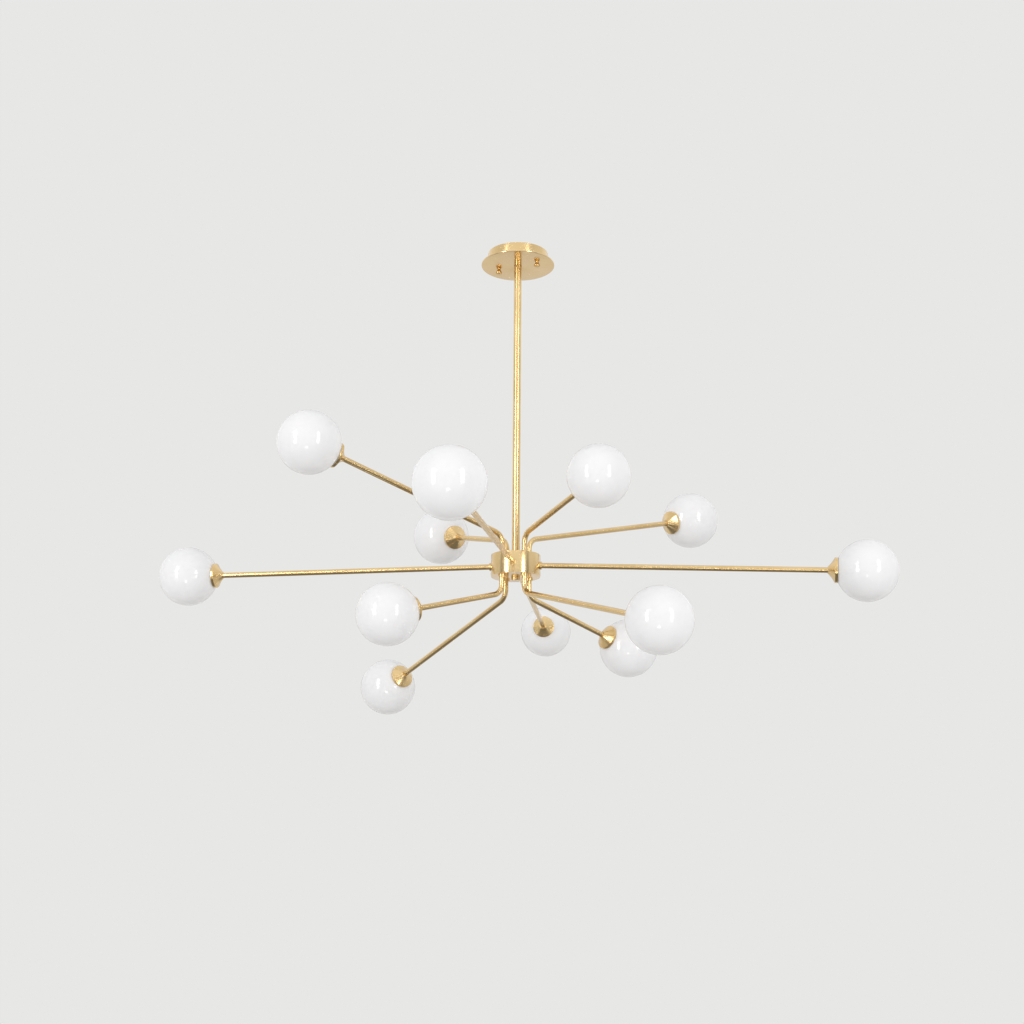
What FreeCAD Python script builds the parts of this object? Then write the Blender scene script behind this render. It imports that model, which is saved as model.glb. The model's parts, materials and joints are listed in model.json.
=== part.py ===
import FreeCAD, Part
import math
import os

# Twelve-lamp brass chandelier with opal glass globes. Millimetres, +Z up.
# The origin is the centre of the canopy where it meets the ceiling, so the fixture hangs
# below z = 0. +X runs along the right-hand level arm.

# ---- Driving sizes -------------------------------------------------------------------

drop = 673.0                    # ceiling to the middle of the hub
side_reach = 635.0              # hub wall to globe centre, level arms
long_reach = 456.0              # bend corner to globe centre, long bent arms
short_reach = 268.0             # bend corner to globe centre, short bent arms

# Glass globe
globe_od = 120.0
globe_wall = 2.2
globe_neck_od = 40.0
globe_neck_length = 4.0

# Turned cup behind each globe
cup_lip = 4.5                   # cup rim beyond the bore that takes the globe's neck
cup_band_length = 6.0
cup_flare_length = 13.0
cup_small_wall = 2.0            # wall around the arm at the flare's small end
cup_flare_hollow = 1.0          # how far the flare dips inside a straight cone
cup_floor_thickness = 5.0
cup_socket_depth = 3.0

# Arm tube
arm_od = 11.0
arm_wall = 1.2
arm_bend_radius = 24.0
arm_exit_inset = 16.5           # hub side to the upright part of a bent arm
arm_corner_rise = 37.0          # hub face to the corner of a bent arm
arm_end_length = 9.0            # tube end standing inside the hub
collar_wall = 2.5
collar_thickness = 3.2
arm_nut_wall = 2.5              # tube side to the nut's flats
arm_nut_thickness = 4.0

# Hub
hub_od = 99.0
hub_height = 44.0
hub_wall = 3.0
hub_top_thickness = 3.0
hub_bottom_thickness = 3.0
hub_bottom_inset = 0.6          # the bottom plate is this much smaller in radius
cap_nut_wall = 4.0
cap_nut_height = 7.0
cap_nut_floor = 2.0
hub_nut_thickness = 5.0
turned_chamfer = 1.0            # cap nut and knobs, lower edges

# Stem
stem_od = 16.0
stem_wall = 1.5
stem_insert_length = 12.0
stem_insert_wall = 1.5          # the insert holds a threaded hollow rod, top and bottom
rod_wall = 1.5
rod_nut_wall = 3.5              # rod side to the lock nuts' flats
top_rod_stand = 2.0             # the top rod's end past its insert

# Canopy
canopy_height = 26.0
drum_wall = 1.5
plate_thickness = 3.0
screw_spacing = 88.9            # outlet box screws, and canopy studs
drum_margin = 18.55             # a stud's middle to the drum's outside
plate_margin = 13.5             # the drum's outside to the plate's edge
knob_turn = -16.0               # direction of the stud line, degrees from +X
box_bar_width = 20.0
box_bar_thickness = 2.5
box_slot_width = 5.2
box_slot_length = 12.0
stud_bar_width = 14.0
stud_bar_thickness = 2.0
stud_od = 4.0
knob_neck_od = 7.0
knob_od = 13.0
knob_height = 10.5
knob_flare_height = 6.0
knob_flare_hollow = 0.4
knob_roof = 2.0
canopy_nut_thickness = 4.0

# Lamp parts
holder_od = 20.0
holder_length = 20.0
holder_pocket_depth = 6.0
nipple_wall = 1.4
nipple_in_arm = 8.0
nipple_in_holder = 5.0
bulb_od = 14.0
bulb_length = 50.0
block_length = 16.0             # terminal blocks
block_width = 14.0
block_height = 10.0
block_hole_od = 3.0
block_gap = 6.0                 # stem side to the near face of a block

# Clearances
running = 0.05                  # a thread or shaft that turns
stem_gap = 0.3                  # canopy around the stem
stud_gap = 0.6                  # canopy around a stud
seat_gap = 0.9                  # cup seat to globe
gasket_thickness = 0.5
neck_gap = 0.5                  # cup bore around the globe's neck
holder_gap = 1.0                # bulb holder in the cup's floor
pocket_gap = 0.1                # bulb base in its holder
stem_top_gap = 1.5              # lock nut to the stem's top end
box_bar_gap = 5.5               # box bar's ends to the drum's wall
stud_bar_gap = 9.5              # stud bar's ends to the drum's wall
stud_end_gap = 1.5              # a stud's end to the knob's roof

# The arms: name, tier, direction in degrees from +X, rise of the straight part in
# degrees, and its reach. The fixture was bent and hung by hand, so they differ a little.
LEVEL, UPPER, LOWER = 0, 1, -1
ARMS = (
    ("side_right", LEVEL, 0.3, -2.6, side_reach),
    ("side_back", LEVEL, 93.6, -0.8, side_reach),
    ("side_left", LEVEL, 180.6, -0.2, side_reach),
    ("side_front", LEVEL, 271.1, -1.7, side_reach),
    ("upper_right_back", UPPER, 46.0, 14.0, long_reach),
    ("upper_left_back", UPPER, 133.3, 13.2, short_reach),
    ("upper_left_front", UPPER, 226.3, 13.8, long_reach),
    ("upper_right_front", UPPER, 311.0, 12.4, short_reach),
    ("lower_right_back", LOWER, 45.4, -16.4, short_reach),
    ("lower_left_back", LOWER, 136.4, -16.7, long_reach),
    ("lower_left_front", LOWER, 224.7, -15.5, short_reach),
    ("lower_right_front", LOWER, 311.3, -15.7, long_reach),
)

# ---- Values that follow ----------------------------------------------------------------

V = FreeCAD.Vector
ORIGIN = V(0, 0, 0)
UP = V(0, 0, 1)

globe_r = globe_od / 2
globe_inner_r = globe_r - globe_wall
neck_r = globe_neck_od / 2
neck_inner_r = neck_r - globe_wall
neck_end = -math.sqrt(globe_r ** 2 - neck_r ** 2) - globe_neck_length

# Along a lamp's own axis z = 0 is the globe's centre and -z points back to the arm.
seat_r = globe_r + seat_gap
cup_bore_r = neck_r + neck_gap
cup_r = cup_bore_r + cup_lip
cup_front = -math.sqrt(seat_r ** 2 - cup_r ** 2)
cup_band_back = cup_front - cup_band_length
cup_small_end = cup_band_back - cup_flare_length
cup_floor = cup_small_end + cup_floor_thickness
cup_bore_end = neck_end - neck_gap
tube_end = cup_small_end + cup_socket_depth

arm_r = arm_od / 2
arm_inner_r = arm_r - arm_wall
arm_nut_flats = arm_od + 2 * arm_nut_wall
arm_nut_corner = arm_nut_flats / math.sqrt(3)
collar_r = arm_r + collar_wall
cup_small_r = arm_r + cup_small_wall

hub_r = hub_od / 2
hub_inner_r = hub_r - hub_wall
hub_top = -drop + hub_height / 2
hub_bottom = -drop - hub_height / 2
hub_ceiling = hub_top - hub_top_thickness
hub_floor = hub_bottom + hub_bottom_thickness
arm_exit_radius = hub_r - arm_exit_inset

stem_r = stem_od / 2
stem_inner_r = stem_r - stem_wall
rod_r = stem_inner_r - stem_insert_wall
rod_bore_r = rod_r - rod_wall
rod_nut_flats = 2 * (rod_r + rod_nut_wall)

drum_r = screw_spacing / 2 + drum_margin
drum_inner_r = drum_r - drum_wall
drum_bottom = -canopy_height + plate_thickness
plate_r = drum_r + plate_margin
stud_r = stud_od / 2
stud_end = -canopy_height - knob_height + knob_roof + stud_end_gap
box_bar_length = 2 * (drum_inner_r - box_bar_gap)
stud_bar_length = 2 * (drum_inner_r - stud_bar_gap)
stud_bar_top = -box_bar_thickness
stud_bar_bottom = stud_bar_top - stud_bar_thickness
stem_top = stud_bar_bottom - canopy_nut_thickness - stem_top_gap
block_offset = stem_r + block_gap


# ---- Helpers ---------------------------------------------------------------------------

def cylinder(radius, z_low, z_high, x=0.0, y=0.0):
    return Part.makeCylinder(radius, z_high - z_low, V(x, y, z_low))


def tube(outer, inner, z_low, z_high):
    return cylinder(outer, z_low, z_high).cut(cylinder(inner, z_low, z_high))


def hex_nut(flats, bore_r, z_low, z_high):
    corner = flats / math.sqrt(3)
    points = [V(corner * math.cos(math.radians(60 * i)), corner * math.sin(math.radians(60 * i)), z_low)
              for i in range(7)]
    prism = Part.Face(Part.makePolygon(points)).extrude(V(0, 0, z_high - z_low))
    return prism.cut(cylinder(bore_r, z_low, z_high))


def line(a, b):
    return Part.makeLine(V(a[0], 0, a[1]), V(b[0], 0, b[1]))


def arc(a, through, b):
    return Part.Arc(V(a[0], 0, a[1]), V(through[0], 0, through[1]), V(b[0], 0, b[1])).toShape()


def on_sphere(radius, r):
    """The point (r, z) behind the globe's centre at this distance from it."""
    return (r, -math.sqrt(radius ** 2 - r ** 2))


def turned(edges):
    """A solid turned about Z from a closed outline of edges in the XZ plane."""
    return Part.Face(Part.Wire(edges)).revolve(ORIGIN, UP, 360)


def group(solids):
    return Part.makeCompound(solids)


# ---- Arm geometry ------------------------------------------------------------------------

def arm_direction(azimuth, rise):
    flat = math.cos(math.radians(rise))
    return V(flat * math.cos(math.radians(azimuth)), flat * math.sin(math.radians(azimuth)),
             math.sin(math.radians(rise)))


def around_hub(azimuth, radius, z):
    return V(radius * math.cos(math.radians(azimuth)), radius * math.sin(math.radians(azimuth)), z)


def exit_point(azimuth, z):
    return around_hub(azimuth, arm_exit_radius, z)


def arm_corner(tier, azimuth):
    """Where an arm's straight part starts: its bend's corner, or the hub wall's mid-height."""
    if tier == UPPER:
        return exit_point(azimuth, hub_top + arm_corner_rise)
    if tier == LOWER:
        return exit_point(azimuth, hub_bottom - arm_corner_rise)
    return around_hub(azimuth, hub_r, -drop)


def globe_centre(arm):
    name, tier, azimuth, rise, reach = arm
    return arm_corner(tier, azimuth) + arm_direction(azimuth, rise) * reach


def ring_face(centre, normal):
    outer = Part.Face(Part.Wire(Part.makeCircle(arm_r, centre, normal)))
    inner = Part.Face(Part.Wire(Part.makeCircle(arm_inner_r, centre, normal)))
    return outer.cut(inner).Faces[0]


def arm_tube(arm):
    name, tier, azimuth, rise, reach = arm
    direction = arm_direction(azimuth, rise)
    tip = globe_centre(arm) + direction * tube_end
    if tier == LEVEL:
        start = arm_corner(tier, azimuth) - direction * (hub_wall + arm_end_length)
        return ring_face(start, direction).extrude(tip - start)
    upright = V(0, 0, tier)
    inside = hub_ceiling if tier == UPPER else hub_floor
    start = exit_point(azimuth, inside - tier * arm_end_length)
    turn = 90 - abs(rise)
    tangent = arm_bend_radius * math.tan(math.radians(turn / 2))
    corner = arm_corner(tier, azimuth)
    bend_start = corner - upright * tangent
    bend_end = corner + direction * tangent
    outward = arm_direction(azimuth, 0)
    centre = bend_start + outward * arm_bend_radius
    stub = ring_face(start, upright).extrude(bend_start - start)
    bend = ring_face(bend_start, upright).revolve(centre, upright.cross(outward), turn)
    straight = ring_face(bend_end, direction).extrude(tip - bend_end)
    return stub.fuse([bend, straight]).removeSplitter()


def at_lamp(shape, arm):
    """Moves a lamp part from its own axis to the end of an arm."""
    name, tier, azimuth, rise, reach = arm
    placed = shape.copy()
    placed.rotate(ORIGIN, V(0, 1, 0), 90 - rise)
    placed.rotate(ORIGIN, UP, azimuth)
    placed.translate(globe_centre(arm))
    return placed


def at_exit(shape, arm):
    """Moves a part drawn about Z to where a bent arm leaves the hub."""
    placed = shape.copy()
    placed.translate(exit_point(arm[2], 0))
    return placed


def along_level(shape, arm):
    """Turns a part drawn along Z, with z = 0 at the hub wall, onto a level arm."""
    name, tier, azimuth, rise, reach = arm
    placed = shape.copy()
    placed.rotate(ORIGIN, V(0, 1, 0), 90 - rise)
    placed.rotate(ORIGIN, UP, azimuth)
    placed.translate(arm_corner(tier, azimuth))
    return placed


def arms_of(tier):
    return [arm for arm in ARMS if arm[1] == tier]


# ---- Canopy and ceiling hardware -----------------------------------------------------------

def stud_points():
    half = screw_spacing / 2
    turn = math.radians(knob_turn)
    return [(side * half * math.cos(turn), side * half * math.sin(turn)) for side in (1, -1)]


def box_bar():
    bar = Part.makeBox(box_bar_width, box_bar_length, box_bar_thickness,
                       V(-box_bar_width / 2, -box_bar_length / 2, -box_bar_thickness))
    slot_r = box_slot_width / 2
    straight = box_slot_length / 2 - slot_r
    for side in (1, -1):
        middle = side * screw_spacing / 2
        for end in (1, -1):
            bar = bar.cut(cylinder(slot_r, -box_bar_thickness, 0, 0, middle + end * straight))
        bar = bar.cut(Part.makeBox(box_slot_width, 2 * straight, box_bar_thickness,
                                   V(-slot_r, middle - straight, -box_bar_thickness)))
    return bar.cut(cylinder(rod_r, -box_bar_thickness, 0))


def stud_bar():
    bar = Part.makeBox(stud_bar_length, stud_bar_width, stud_bar_thickness,
                       V(-stud_bar_length / 2, -stud_bar_width / 2, stud_bar_bottom))
    bar.rotate(ORIGIN, UP, knob_turn)
    for x, y in stud_points():
        bar = bar.cut(cylinder(stud_r, stud_bar_bottom, stud_bar_top, x, y))
    return bar.cut(cylinder(rod_r, stud_bar_bottom, stud_bar_top))


def canopy_studs():
    return group([cylinder(stud_r, stud_end, stud_bar_top, x, y) for x, y in stud_points()])


def canopy_holes(shape, z_low, z_high):
    shape = shape.cut(cylinder(stem_r + stem_gap, z_low, z_high))
    for x, y in stud_points():
        shape = shape.cut(cylinder(stud_r + stud_gap, z_low, z_high, x, y))
    return shape


def canopy_drum():
    drum = cylinder(drum_r, drum_bottom, 0)
    drum = drum.cut(cylinder(drum_inner_r, drum_bottom + drum_wall, 0))
    return canopy_holes(drum, drum_bottom, drum_bottom + drum_wall)


def canopy_plate():
    return canopy_holes(cylinder(plate_r, -canopy_height, drum_bottom), -canopy_height, drum_bottom)


def canopy_knob(x, y):
    neck = knob_neck_od / 2
    outer = knob_od / 2
    foot = -knob_height
    flare_end = -knob_flare_height
    bore_r = stud_r + running
    bore_end = foot + knob_roof
    edges = [line((bore_r, 0), (neck, 0)),
             arc((neck, 0), ((neck + outer) / 2 - knob_flare_hollow, flare_end * 0.6), (outer, flare_end)),
             line((outer, flare_end), (outer, foot + turned_chamfer)),
             line((outer, foot + turned_chamfer), (outer - turned_chamfer, foot)),
             line((outer - turned_chamfer, foot), (0, foot)),
             line((0, foot), (0, bore_end)),
             line((0, bore_end), (bore_r, bore_end)),
             line((bore_r, bore_end), (bore_r, 0))]
    knob = turned(edges)
    knob.translate(V(x, y, -canopy_height))
    return knob


def terminal_block(z_low, x_low):
    block = Part.makeBox(block_length, block_width, block_height, V(x_low, -block_width / 2, z_low))
    for i in (-1, 0, 1):
        hole = Part.makeCylinder(block_hole_od / 2, block_length,
                                 V(x_low, i * block_width / 3, z_low + block_height / 2), V(1, 0, 0))
        block = block.cut(hole)
    return block


# ---- Stem and hub ------------------------------------------------------------------------

def stem_insert(z_low, bore_r):
    return tube(stem_inner_r, bore_r, z_low, z_low + stem_insert_length)


def hub_body():
    hub = cylinder(hub_r, hub_bottom + hub_bottom_thickness, hub_top)
    hub = hub.cut(cylinder(hub_inner_r, hub_floor, hub_ceiling))
    hub = hub.cut(cylinder(rod_r, hub_ceiling, hub_top))
    for arm in arms_of(UPPER):
        hub = hub.cut(at_exit(cylinder(arm_r, hub_ceiling, hub_top), arm))
    for arm in arms_of(LEVEL):
        hub = hub.cut(along_level(cylinder(arm_r, -2 * hub_wall, hub_wall), arm))
    return hub


def hub_bottom_plate():
    plate = cylinder(hub_r - hub_bottom_inset, hub_bottom, hub_floor)
    plate = plate.cut(cylinder(rod_r, hub_bottom, hub_floor))
    for arm in arms_of(LOWER):
        plate = plate.cut(at_exit(cylinder(arm_r, hub_bottom, hub_floor), arm))
    return plate


def hub_cap_nut():
    low = hub_bottom - cap_nut_height
    nut = cylinder(rod_r + cap_nut_wall, low, hub_bottom)
    nut = nut.makeChamfer(turned_chamfer, [edge for edge in nut.Edges if abs(edge.BoundBox.ZMax - low) < 1e-6])
    return nut.cut(cylinder(rod_r, low + cap_nut_floor, hub_bottom))


def bent_collars(tier):
    if tier == UPPER:
        ring = tube(collar_r, arm_r, hub_top, hub_top + collar_thickness)
    else:
        ring = tube(collar_r, arm_r, hub_bottom - collar_thickness, hub_bottom)
    return group([at_exit(ring, arm) for arm in arms_of(tier)])


def side_collars():
    ring = tube(collar_r, arm_r, -hub_wall, collar_thickness)
    hub = cylinder(hub_r, hub_bottom, hub_top)
    return group([along_level(ring, arm).cut(hub) for arm in arms_of(LEVEL)])


def bent_arm_nuts(tier):
    if tier == UPPER:
        nut = hex_nut(arm_nut_flats, arm_r, hub_ceiling - arm_nut_thickness, hub_ceiling)
    else:
        nut = hex_nut(arm_nut_flats, arm_r, hub_floor, hub_floor + arm_nut_thickness)
    return group([at_exit(nut, arm) for arm in arms_of(tier)])


def side_arm_nuts():
    face = math.sqrt(hub_inner_r ** 2 - arm_nut_corner ** 2) - hub_r
    nut = hex_nut(arm_nut_flats, arm_r, face - arm_nut_thickness, face)
    return group([along_level(nut, arm) for arm in arms_of(LEVEL)])


# ---- Lamp parts, each on its own axis with the globe's centre at the origin ------------------

def globe():
    neck_top = on_sphere(globe_r, neck_r)
    inner_top = on_sphere(globe_inner_r, neck_inner_r)
    edges = [line((neck_r, neck_end), neck_top),
             arc(neck_top, (globe_r, 0), (0, globe_r)),
             line((0, globe_r), (0, globe_inner_r)),
             arc((0, globe_inner_r), (globe_inner_r, 0), inner_top),
             line(inner_top, (neck_inner_r, neck_end)),
             line((neck_inner_r, neck_end), (neck_r, neck_end))]
    return turned(edges)


def cup():
    floor_r = holder_od / 2 + holder_gap
    middle = ((cup_r + cup_small_r) / 2 - cup_flare_hollow, (cup_band_back + cup_small_end) / 2)
    rim = on_sphere(seat_r, cup_r)
    seat_middle = on_sphere(seat_r, (cup_r + cup_bore_r) / 2)
    bore_top = on_sphere(seat_r, cup_bore_r)
    edges = [arc(bore_top, seat_middle, rim),
             line(rim, (cup_r, cup_band_back)),
             arc((cup_r, cup_band_back), middle, (cup_small_r, cup_small_end)),
             line((cup_small_r, cup_small_end), (arm_r, cup_small_end)),
             line((arm_r, cup_small_end), (arm_r, tube_end)),
             line((arm_r, tube_end), (arm_inner_r, tube_end)),
             line((arm_inner_r, tube_end), (arm_inner_r, cup_floor)),
             line((arm_inner_r, cup_floor), (floor_r, cup_floor)),
             line((floor_r, cup_floor), (cup_bore_r, cup_bore_end)),
             line((cup_bore_r, cup_bore_end), bore_top)]
    return turned(edges)


def gasket():
    inner = cup_bore_r + neck_gap
    outer = cup_r - neck_gap
    middle = (inner + outer) / 2
    top_r = seat_r - gasket_thickness
    edges = [arc(on_sphere(seat_r, inner), on_sphere(seat_r, middle), on_sphere(seat_r, outer)),
             line(on_sphere(seat_r, outer), on_sphere(top_r, outer)),
             arc(on_sphere(top_r, outer), on_sphere(top_r, middle), on_sphere(top_r, inner)),
             line(on_sphere(top_r, inner), on_sphere(seat_r, inner))]
    return turned(edges)


def cup_nipple():
    return tube(arm_inner_r, arm_inner_r - nipple_wall,
                tube_end - nipple_in_arm, cup_floor + nipple_in_holder)


def lampholder():
    top = cup_floor + holder_length
    body = cylinder(holder_od / 2, cup_floor, top)
    body = body.cut(cylinder(bulb_od / 2 + pocket_gap, top - holder_pocket_depth, top))
    return body.cut(cylinder(arm_inner_r, cup_floor, cup_floor + nipple_in_holder))


def bulb():
    radius = bulb_od / 2
    base = cup_floor + holder_length - holder_pocket_depth
    shoulder = base + bulb_length - radius
    return cylinder(radius, base, shoulder).fuse(Part.makeSphere(radius, V(0, 0, shoulder))).removeSplitter()


def lamps(shape, arms):
    return group([at_lamp(shape, arm) for arm in arms])


# ---- Build ---------------------------------------------------------------------------------

def build():
    nodes = {}
    nodes["box_bar"] = box_bar()
    nodes["stud_bar"] = stud_bar()
    nodes["canopy_studs"] = canopy_studs()
    nodes["top_rod"] = tube(rod_r, rod_bore_r, stem_top - stem_insert_length - top_rod_stand, 0)
    nut_bottom = stud_bar_bottom - canopy_nut_thickness
    nodes["top_rod_nut"] = hex_nut(rod_nut_flats, rod_r, nut_bottom, stud_bar_bottom)
    nodes["canopy_terminal_block"] = terminal_block(stud_bar_bottom - block_height, block_offset)

    nodes["canopy_drum"] = canopy_drum()
    nodes["canopy_plate"] = canopy_plate()
    right, left = stud_points()
    nodes["canopy_knob_right"] = canopy_knob(*right)
    nodes["canopy_knob_left"] = canopy_knob(*left)

    nodes["stem_tube"] = tube(stem_r, stem_inner_r, hub_top, stem_top)
    nodes["stem_top_insert"] = stem_insert(stem_top - stem_insert_length, rod_r + running)
    nodes["stem_bottom_insert"] = stem_insert(hub_top, rod_r)
    rod_foot = hub_bottom - cap_nut_height + cap_nut_floor
    nodes["hub_rod"] = tube(rod_r, rod_bore_r, rod_foot, hub_top + stem_insert_length)
    nodes["hub_rod_nut"] = hex_nut(rod_nut_flats, rod_r, hub_ceiling - hub_nut_thickness, hub_ceiling)
    nodes["hub_body"] = hub_body()
    nodes["hub_bottom_plate"] = hub_bottom_plate()
    nodes["hub_cap_nut"] = hub_cap_nut()
    nodes["hub_terminal_block"] = terminal_block(hub_floor, block_offset)

    nodes["side_arm_collars"] = side_collars()
    nodes["upper_arm_collars"] = bent_collars(UPPER)
    nodes["lower_arm_collars"] = bent_collars(LOWER)
    nodes["side_arm_nuts"] = side_arm_nuts()
    nodes["upper_arm_nuts"] = bent_arm_nuts(UPPER)
    nodes["lower_arm_nuts"] = bent_arm_nuts(LOWER)

    nodes["side_cups"] = lamps(cup(), arms_of(LEVEL))
    nodes["upper_cups"] = lamps(cup(), arms_of(UPPER))
    nodes["lower_cups"] = lamps(cup(), arms_of(LOWER))
    nodes["cup_nipples"] = lamps(cup_nipple(), ARMS)
    nodes["lampholders"] = lamps(lampholder(), ARMS)
    nodes["bulbs"] = lamps(bulb(), ARMS)
    nodes["globe_gaskets"] = lamps(gasket(), ARMS)
    for arm in ARMS:
        nodes["arm_" + arm[0]] = arm_tube(arm)
        nodes["globe_" + arm[0]] = at_lamp(globe(), arm)
    return nodes


os.makedirs("parts", exist_ok=True)
for node, shape in build().items():
    shape.exportStep("parts/" + node + ".step")
    print(node, len(shape.Solids), "valid" if shape.isValid() else "INVALID", round(shape.Volume, 1))
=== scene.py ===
import json
import math

import bmesh
import bpy
import numpy as np
from mathutils import Matrix, Vector


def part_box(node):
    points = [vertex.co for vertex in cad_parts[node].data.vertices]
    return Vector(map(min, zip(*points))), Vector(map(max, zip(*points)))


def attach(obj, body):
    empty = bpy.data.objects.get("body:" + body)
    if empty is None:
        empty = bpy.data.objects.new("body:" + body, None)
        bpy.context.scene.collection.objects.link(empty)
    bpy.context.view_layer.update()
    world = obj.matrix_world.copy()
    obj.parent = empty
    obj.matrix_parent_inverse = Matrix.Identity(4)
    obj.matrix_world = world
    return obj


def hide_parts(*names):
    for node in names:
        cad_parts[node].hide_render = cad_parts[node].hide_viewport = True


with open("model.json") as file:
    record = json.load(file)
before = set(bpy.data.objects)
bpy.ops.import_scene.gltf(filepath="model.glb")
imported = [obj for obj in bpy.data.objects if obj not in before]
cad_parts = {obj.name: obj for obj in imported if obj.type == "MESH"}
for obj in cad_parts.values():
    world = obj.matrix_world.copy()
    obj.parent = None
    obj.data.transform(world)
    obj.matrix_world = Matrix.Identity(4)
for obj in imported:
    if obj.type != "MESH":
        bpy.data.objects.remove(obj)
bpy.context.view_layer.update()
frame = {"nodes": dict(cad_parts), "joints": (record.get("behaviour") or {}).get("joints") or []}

NODES = frame["nodes"]
UP = Vector((0, 0, 1))

# ---- The fixture's own sizes, metres ---------------------------------------------------

ARM_RADIUS = 0.0055
BEND_RADIUS = 0.024
TUBE_WALL = 0.0012
STEM_WALL = 0.0015
GLASS_WALL = 0.0022
GLASS_NECK_RADIUS = 0.020
GLASS_NECK_LENGTH = 0.004
SEAT_GAP = 0.0009
CUP_BAND = 0.006
CUP_FLARE = 0.013
CUP_SMALL_RADIUS = 0.0075
CUP_RIM_RADIUS = 0.025
CUP_BORE_RADIUS = 0.0205
TUBE_SOCKET = 0.003
COLLAR_RADIUS = 0.008
HUB_WALL = 0.003
ROD_RADIUS = 0.005
STEM_GAP = 0.0003
STUD_HOLE_RADIUS = 0.0026
DRUM_WALL = 0.0015
KNOB_BORE_RADIUS = 0.00205
KNOB_ROOF = 0.002
KNOB_FLARE_HEIGHT = 0.006
KNOB_NECK_RADIUS = 0.0035
CAP_NUT_FLOOR = 0.002
COLLAR_HEIGHT = 0.0032
COLLAR_PLAY = 0.00002           # between a collar and its arm
COLLAR_SUNK = 0.0009            # side collars reach into the round hub by this much
SOCKET_PLAY = 0.00005           # between a cup and its arm
HOLDER_BORE_RADIUS = 0.011      # way through a cup's floor for the lampholder
SATIN = "satin_brass"           # the satin brass material's name, passed with each satin brass piece

ROUND_SEGMENTS = 96
RING_STRETCH = 0.03


# ---- Lamps: where each arm points and where its globe sits ----------------------------------

def lamp_axes():
    """Each lamp's outward direction, from the joint its globe draws off along."""
    axes = {}
    for joint in frame["joints"]:
        if joint["name"].startswith("globe_"):
            axes[joint["child"][len("globe_"):]] = Vector(joint["axis"]).normalized()
    return axes


LAMP_AXES = lamp_axes()


def globe_place(lamp):
    """Centre and radius of a globe. Its neck never reaches past the sphere on the outward side."""
    low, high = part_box("globe_" + lamp)
    radius = (high.z - low.z) / 2
    axis = LAMP_AXES[lamp]
    centre = Vector([high[i] - radius if axis[i] >= 0 else low[i] + radius for i in range(3)])
    return centre, radius


# ---- Mesh helpers ------------------------------------------------------------------------

def new_object(name, mesh):
    thing = bpy.data.objects.new(name, mesh)
    bpy.context.scene.collection.objects.link(thing)
    return thing


def smooth_with_edges(mesh, degrees=32):
    mesh.shade_smooth()
    mesh.set_sharp_from_angle(angle=math.radians(degrees))


def softened(corners, steps=4):
    """An outline of (r, s) points from (r, s, rounding) corners."""
    points = []
    count = len(corners)
    for i, corner in enumerate(corners):
        here = Vector(corner[:2])
        rounding = corner[2] if len(corner) > 2 else 0
        if not rounding:
            points.append(here)
            continue
        before = Vector(corners[i - 1][:2]) - here
        after = Vector(corners[(i + 1) % count][:2]) - here
        size = min(rounding, before.length * 0.45, after.length * 0.45)
        start = here + before.normalized() * size
        end = here + after.normalized() * size
        for k in range(steps + 1):
            t = k / steps
            points.append(start * (1 - t) ** 2 + here * 2 * t * (1 - t) + end * t ** 2)
    return points


def axis_frame(axis):
    """Two directions square to an axis."""
    side = axis.cross(UP) if abs(axis.z) < 0.9 else axis.cross(Vector((0, 1, 0)))
    side.normalize()
    return side, axis.cross(side).normalized()


def lathe_mesh(outline, origin, axis, segments):
    """Vertices and faces of a closed outline of (r, s) points turned about an axis."""
    side, other = axis_frame(axis)
    verts, rings = [], []
    for r, s in outline:
        steps = 1 if r < 1e-7 else segments
        rings.append(range(len(verts), len(verts) + steps))
        for k in range(steps):
            turn = 2 * math.pi * k / segments
            verts.append(origin + axis * s + (side * math.cos(turn) + other * math.sin(turn)) * r)
    faces = []
    for a, b in zip(rings, rings[1:] + rings[:1]):
        if len(a) == 1 and len(b) == 1:
            continue
        for k in range(segments):
            n = (k + 1) % segments
            if len(a) == 1:
                faces.append((a[0], b[n], b[k]))
            elif len(b) == 1:
                faces.append((a[k], a[n], b[0]))
            else:
                faces.append((a[k], a[n], b[n], b[k]))
    return verts, faces


def lathe(name, places, outline, degrees=32, segments=ROUND_SEGMENTS):
    """One object of the same turned piece at each (origin, axis)."""
    verts, faces, grain, stretch = [], [], [], []
    for origin, axis in places:
        v, f = lathe_mesh(outline, origin, axis, segments)
        faces += [tuple(i + len(verts) for i in face) for face in f]
        verts += v
        g, t = turned_grain(v, origin, axis)
        grain += g
        stretch += t
    mesh = bpy.data.meshes.new(name)
    mesh.from_pydata(verts, [], faces)
    face_outwards(mesh)
    store_vectors(mesh, "grain", grain)
    store_vectors(mesh, "stretch", stretch)
    smooth_with_edges(mesh, degrees)
    return new_object(name, mesh)


def turned_grain(verts, origin, axis):
    """For points on a turned piece: where the fine rings lie, and the way they smear light."""
    side, other = axis_frame(axis)
    grain, stretch = [], []
    for point in verts:
        off = point - origin
        s = off.dot(axis)
        out = off - axis * s
        grain.append((out.dot(side) * RING_STRETCH, out.dot(other) * RING_STRETCH, s + 1.37 * out.length))
        stretch.append(axis + (out.normalized() if out.length > 1e-7 else Vector()))
    return grain, stretch


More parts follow.
